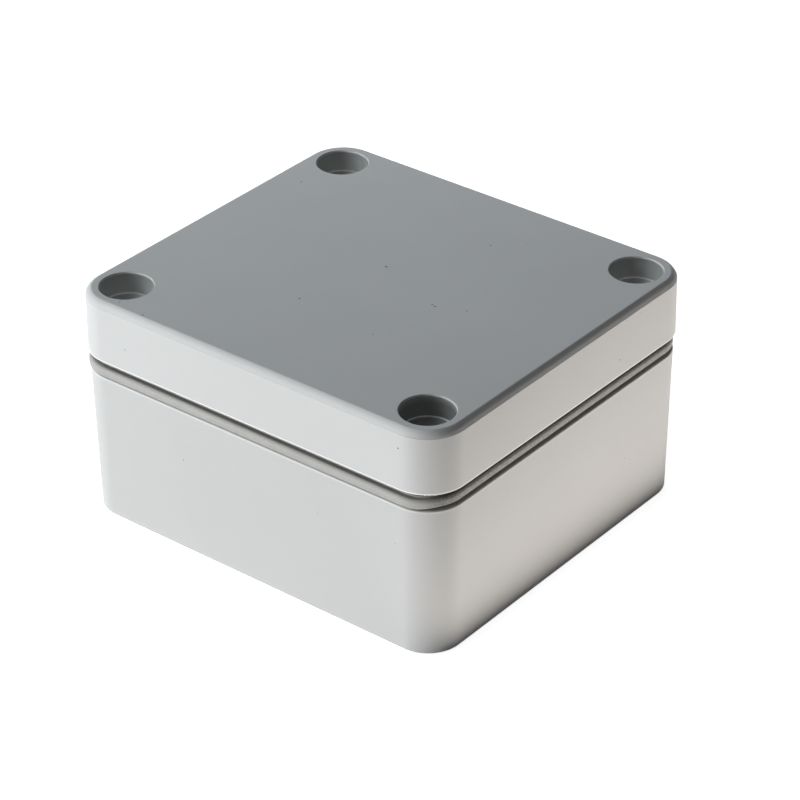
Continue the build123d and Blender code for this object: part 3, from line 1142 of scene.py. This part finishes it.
def drive_cutter(sizes, top):
    """The cross recess in the head, narrower at its floor."""
    half, reach = sizes.drive_width / 2, sizes.drive_length / 2
    lean = 0.12 * MM
    outline = [(half, half), (reach, half), (reach, -half), (half, -half), (half, -reach), (-half, -reach),
               (-half, -half), (-reach, -half), (-reach, half), (-half, half), (-half, reach), (half, reach)]
    rings = []
    for inset, height in ((lean, top - sizes.drive_depth), (0, top), (0, top + CLEAR)):
        rings.append([Vector((x - copysign(inset, x), y - copysign(inset, y), height)) for x, y in outline])
    return lofted("drive_cutter", rings)


class ENCLOSURE_OT_captive_screws(bpy.types.Operator):
    """Build the four captive screws with their threads"""

    bl_idname = "enclosure.captive_screws"
    bl_label = "Captive Screws"

    def execute(self, context):
        sizes = context.scene.enclosure_fixings
        steel = context.scene.enclosure_colours.steel
        material = turned_metal_material("screw_steel", steel, roughness=0.22, line_size=0.09 * MM)
        tree = thread_tree()
        body, tip, undercut_end = screw_body(sizes)
        run_in = 0.3 * MM
        for corner in CORNERS:
            centre = screw_centre(corner)
            piece = mesh_object(f"captive_screw_{corner}", body.data.copy())
            grow(piece, tree, {
                "Place": (centre.x, centre.y, 0.0),
                "Start": tip + run_in,
                "Length": undercut_end - tip - 2 * run_in,
                "Pitch": sizes.thread_pitch,
                "Root Radius": sizes.thread_radius - sizes.thread_depth,
                "Ridge": sizes.thread_depth,
                "Material": material,
            })
            shade(piece, 40)
            finish_piece(piece, material, f"screw_{corner}", [f"lid_screw_{corner}"])
        bpy.data.objects.remove(body)
        return {"FINISHED"}


def ring_tree():
    """A round sealing ring."""
    tree, graph, inputs = geometry_tree("Round ring", {
        "Place": "Vector", "Ring Radius": "Float", "Section Radius": "Float", "Steps": "Int",
        "Material": "Material",
    })
    path = graph.circle(inputs["Steps"], inputs["Ring Radius"])
    section = graph.circle(24, inputs["Section Radius"])
    close_tree(graph, graph.moved(graph.skin(path, section), inputs["Place"]), inputs["Material"])
    return tree


class ENCLOSURE_OT_sealing_rings(bpy.types.Operator):
    """Build the rubber ring under each screw head"""

    bl_idname = "enclosure.sealing_rings"
    bl_label = "Sealing Rings"

    def execute(self, context):
        material = rubber_material(context.scene.enclosure_colours)
        tree = ring_tree()
        for corner in CORNERS:
            low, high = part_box(f"screw_ring_{corner}")
            section = (high.z - low.z) / 2
            piece = mesh_object(f"sealing_ring_{corner}", bpy.data.meshes.new("ring"))
            grow(piece, tree, {
                "Place": (low + high) / 2,
                "Ring Radius": (high.x - low.x) / 2 - section,
                "Section Radius": section,
                "Steps": 64,
                "Material": material,
            })
            shade(piece, 60)
            finish_piece(piece, material, f"ring_{corner}", [f"screw_ring_{corner}"])
        return {"FINISHED"}


def knurl_tree():
    """Sets straight ridges round the two bands of a sleeve and moves it to its place."""
    tree, graph, inputs = geometry_tree("Knurl a sleeve", {
        "Place": "Vector", "Count": "Int", "Band Radius": "Float", "Band Height": "Float",
        "Lower Band": "Float", "Upper Band": "Float", "Ridge": "Float", "Material": "Material",
    })
    circle = graph.circle(inputs["Count"], inputs["Band Radius"])
    ridge = graph.add("GeometryNodeMeshCylinder", None,
                      {"Vertices": 4, "Radius": inputs["Ridge"], "Depth": inputs["Band Height"]})
    turn = graph.add("GeometryNodeInputIndex") * (2 * pi) / inputs["Count"]
    spin = graph.combine(0.0, 0.0, turn)
    ridges = graph.add("GeometryNodeInstanceOnPoints", None,
                       {"Points": circle, "Instance": ridge, "Rotation": spin})
    bands = [graph.lifted(ridges, inputs[level]) for level in ("Lower Band", "Upper Band")]
    placed = graph.moved(graph.joined(*bands, inputs["Geometry"]), inputs["Place"])
    close_tree(graph, placed, inputs["Material"])
    return tree


def insert_sleeve(sizes, low, high):
    """The turned sleeve on the axis, as a ring of one section, with grooves of the thread in its bore."""
    outer = (high.x - low.x) / 2 - sizes.knurl_depth
    waist = outer - 0.2 * MM
    bore = sizes.thread_radius + 0.05 * MM
    lead_in, thread_groove, mouth = 0.3 * MM, 0.2 * MM, 0.4 * MM
    section = [(bore + lead_in, high.z), (outer, high.z),
               (outer, high.z - KNURL_BAND), (waist, high.z - KNURL_BAND),
               (waist, low.z + KNURL_BAND), (outer, low.z + KNURL_BAND), (outer, low.z), (bore, low.z)]
    pitch = sizes.thread_pitch
    level = low.z + pitch / 2
    while level < high.z - mouth - pitch:
        section += [(bore, level), (bore + thread_groove, level + pitch / 2)]
        level += pitch
    section.append((bore, high.z - lead_in))
    rings = [[(radius * cos(turn), radius * sin(turn), z) for radius, z in section] for turn in turns_of(64)]
    return lofted("insert_sleeve", rings, closed=True)


class ENCLOSURE_OT_threaded_inserts(bpy.types.Operator):
    """Build the brass inserts in the corner pillars"""

    bl_idname = "enclosure.threaded_inserts"
    bl_label = "Threaded Inserts"

    def execute(self, context):
        sizes = context.scene.enclosure_fixings
        brass = context.scene.enclosure_colours.brass
        material = turned_metal_material("insert_brass", brass, roughness=0.26, line_size=0.12 * MM)
        tree = knurl_tree()
        for corner in CORNERS:
            low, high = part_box(f"threaded_insert_{corner}")
            centre = (low + high) / 2
            piece = insert_sleeve(sizes, low, high)
            piece.name = f"brass_insert_{corner}"
            grow(piece, tree, {
                "Place": (centre.x, centre.y, 0.0),
                "Count": sizes.knurl_count,
                "Band Radius": (high.x - low.x) / 2 - sizes.knurl_depth,
                "Band Height": KNURL_BAND - 0.1 * MM,
                "Lower Band": low.z + KNURL_BAND / 2,
                "Upper Band": high.z - KNURL_BAND / 2,
                "Ridge": sizes.knurl_depth,
                "Material": material,
            })
            shade(piece, 30)
            finish_piece(piece, material, "base", [f"threaded_insert_{corner}"])
        return {"FINISHED"}


# Studio

# The lamps' distance, the height they look at, the floor's half width and its gap under the base
LAMP_DISTANCE = 0.65
LAMP_AIM = 0.02
FLOOR_REACH = 3.0
FLOOR_GAP = 0.03 * MM
WHITE = (1.0, 1.0, 1.0)

# Millimetres, as cameras give it
SENSOR_WIDTH = 36


def sees_background(graph):
    """1 for rays from the camera and for rays that metal or gloss mirrors or that pass through."""
    rays = graph.add("ShaderNodeLightPath")
    seen = rays["Is Camera Ray"].maths("MAXIMUM", rays["Is Glossy Ray"])
    return seen.maths("MAXIMUM", rays["Is Transmission Ray"])


def floor_material():
    """Pale floor that the camera sees as white outside the enclosure's shadow."""
    material = bpy.data.materials.new("studio_floor")
    graph = shader_graph(material)
    paper = graph.add("ShaderNodeBsdfDiffuse", None, {"Color": (0.8, 0.8, 0.8)})
    glow = graph.add("ShaderNodeEmission", None, {"Color": WHITE, "Strength": 0.9})
    lit = graph.add("ShaderNodeAddShader", None, {0: paper, 1: glow})
    shader = graph.add("ShaderNodeMixShader", None, {0: sees_background(graph), 1: paper, 2: lit})
    graph.add("ShaderNodeOutputMaterial", None, {"Surface": shader})
    return material


def build_world(ambient):
    """Even light all round, and white where a ray passes the floor."""
    world = bpy.data.worlds.new("studio")
    graph = shader_graph(world)
    even = graph.add("ShaderNodeBackground", None, {"Color": (0.95, 0.98, 1.0), "Strength": ambient})
    white = graph.add("ShaderNodeBackground", None, {"Color": WHITE, "Strength": 1.0})
    shader = graph.add("ShaderNodeMixShader", None, {0: sees_background(graph), 1: even, 2: white})
    graph.add("ShaderNodeOutputWorld", None, {"Surface": shader})
    bpy.context.scene.world = world


def add_lamp(name, place, target, width, height, power, tint):
    """A soft rectangular lamp that looks at a point and isn't seen itself."""
    lamp = bpy.data.lights.new(name, "AREA")
    lamp.shape = "RECTANGLE"
    lamp.size = width
    lamp.size_y = height
    lamp.energy = power
    lamp.color = tint
    holder = bpy.data.objects.new(name, lamp)
    holder.location = place
    holder.rotation_euler = (Vector(target) - Vector(place)).to_track_quat("-Z", "Y").to_euler()
    holder.visible_camera = False
    bpy.context.scene.collection.objects.link(holder)


def direction(turn, rise):
    """A direction by its turn from the front, towards the right, and its rise above the horizon."""
    return Vector((sin(turn) * cos(rise), -cos(turn) * cos(rise), sin(rise)))


def add_lamps(studio):
    """Soft lamps round the enclosure, and a strip of table that shines up at its right side."""
    middle = (0, 0, LAMP_AIM)
    for name, azimuth, elevation, width, height, power, tint in (
        ("key_lamp", -25, 3.5, 0.4, 0.07, studio.key_power, WHITE),
        ("overhead_lamp", -58, 44, 0.3, 0.3, studio.overhead_power, (0.9, 0.97, 1)),
        ("back_lamp", -141, 22, 0.3, 0.15, studio.back_power, (0.9, 0.96, 1)),
    ):
        place = direction(radians(azimuth), radians(elevation)) * LAMP_DISTANCE
        add_lamp(name, place, middle, width, height, power, tint)
    x, y = 0.0875, 0.05
    add_lamp("table_light", (x, y, 0.5 * MM), (x, y, 1), 0.105, 0.2, studio.table_power, (1, 0.94, 0.88))


def add_camera(studio):
    """The camera at the photograph's place."""
    camera = bpy.data.cameras.new("photo_camera")
    camera.sensor_width = SENSOR_WIDTH
    camera.lens = studio.lens
    camera.clip_start = 0.01
    back = direction(studio.azimuth, studio.elevation)
    right = Vector((cos(studio.azimuth), sin(studio.azimuth), 0))
    up = back.cross(right)
    aim = right * studio.aim_right + Vector((0, 0, studio.aim_height))
    tilted_right = right * cos(studio.roll) + up * sin(studio.roll)
    tilted_up = up * cos(studio.roll) - right * sin(studio.roll)
    axes = Matrix((tilted_right, tilted_up, back)).transposed().to_4x4()
    holder = bpy.data.objects.new("photo_camera", camera)
    holder.matrix_world = Matrix.Translation(aim + back * studio.distance) @ axes
    bpy.context.scene.collection.objects.link(holder)
    bpy.context.scene.camera = holder


class ENCLOSURE_OT_stage(bpy.types.Operator):
    """Build the floor, lamps, world and camera"""

    bl_idname = "enclosure.stage"
    bl_label = "Stage"

    def execute(self, context):
        studio = context.scene.enclosure_studio
        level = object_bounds()[0][2] - FLOOR_GAP
        corners = [(x * FLOOR_REACH, y * FLOOR_REACH, level) for x, y in ((-1, -1), (1, -1), (1, 1), (-1, 1))]
        mesh = bpy.data.meshes.new("floor")
        mesh.from_pydata(corners, [], [(0, 1, 2, 3)])
        floor = mesh_object("floor", mesh)
        floor.data.materials.append(floor_material())
        floor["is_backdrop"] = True
        add_lamps(studio)
        build_world(studio.ambient)
        add_camera(studio)
        context.scene.view_settings.view_transform = "Standard"
        return {"FINISHED"}


# Sidebar and registration

STEPS = (
    ENCLOSURE_OT_base_moulding,
    ENCLOSURE_OT_lid_moulding,
    ENCLOSURE_OT_lid_seal,
    ENCLOSURE_OT_captive_screws,
    ENCLOSURE_OT_sealing_rings,
    ENCLOSURE_OT_threaded_inserts,
    ENCLOSURE_OT_stage,
)


class VIEW3D_PT_enclosure(bpy.types.Panel):
    """Lists the steps that build the enclosure"""

    bl_label = "Sealed Enclosure"
    bl_space_type = "VIEW_3D"
    bl_region_type = "UI"
    bl_category = "Enclosure"

    def draw(self, context):
        for step in STEPS:
            self.layout.operator(step.bl_idname)


GROUPS = {
    "enclosure_mouldings": MouldingSizes,
    "enclosure_fixings": FixingSizes,
    "enclosure_colours": FinishColours,
    "enclosure_studio": StudioSettings,
}


def register():
    for name, group in GROUPS.items():
        bpy.utils.register_class(group)
        setattr(bpy.types.Scene, name, bpy.props.PointerProperty(type=group))
    for step in (*STEPS, VIEW3D_PT_enclosure):
        bpy.utils.register_class(step)


def unregister():
    for step in reversed((*STEPS, VIEW3D_PT_enclosure)):
        bpy.utils.unregister_class(step)
    for name, group in reversed(GROUPS.items()):
        delattr(bpy.types.Scene, name)
        bpy.utils.unregister_class(group)


def plain(bounds):
    """A box as plain lists of numbers."""
    return [list(corner) for corner in bounds]


def main():
    """Builds every piece in order."""
    register()
    for step in STEPS:
        group, name = step.bl_idname.split(".")
        getattr(getattr(bpy.ops, group), name)()


if __name__ == "__main__":
    main()
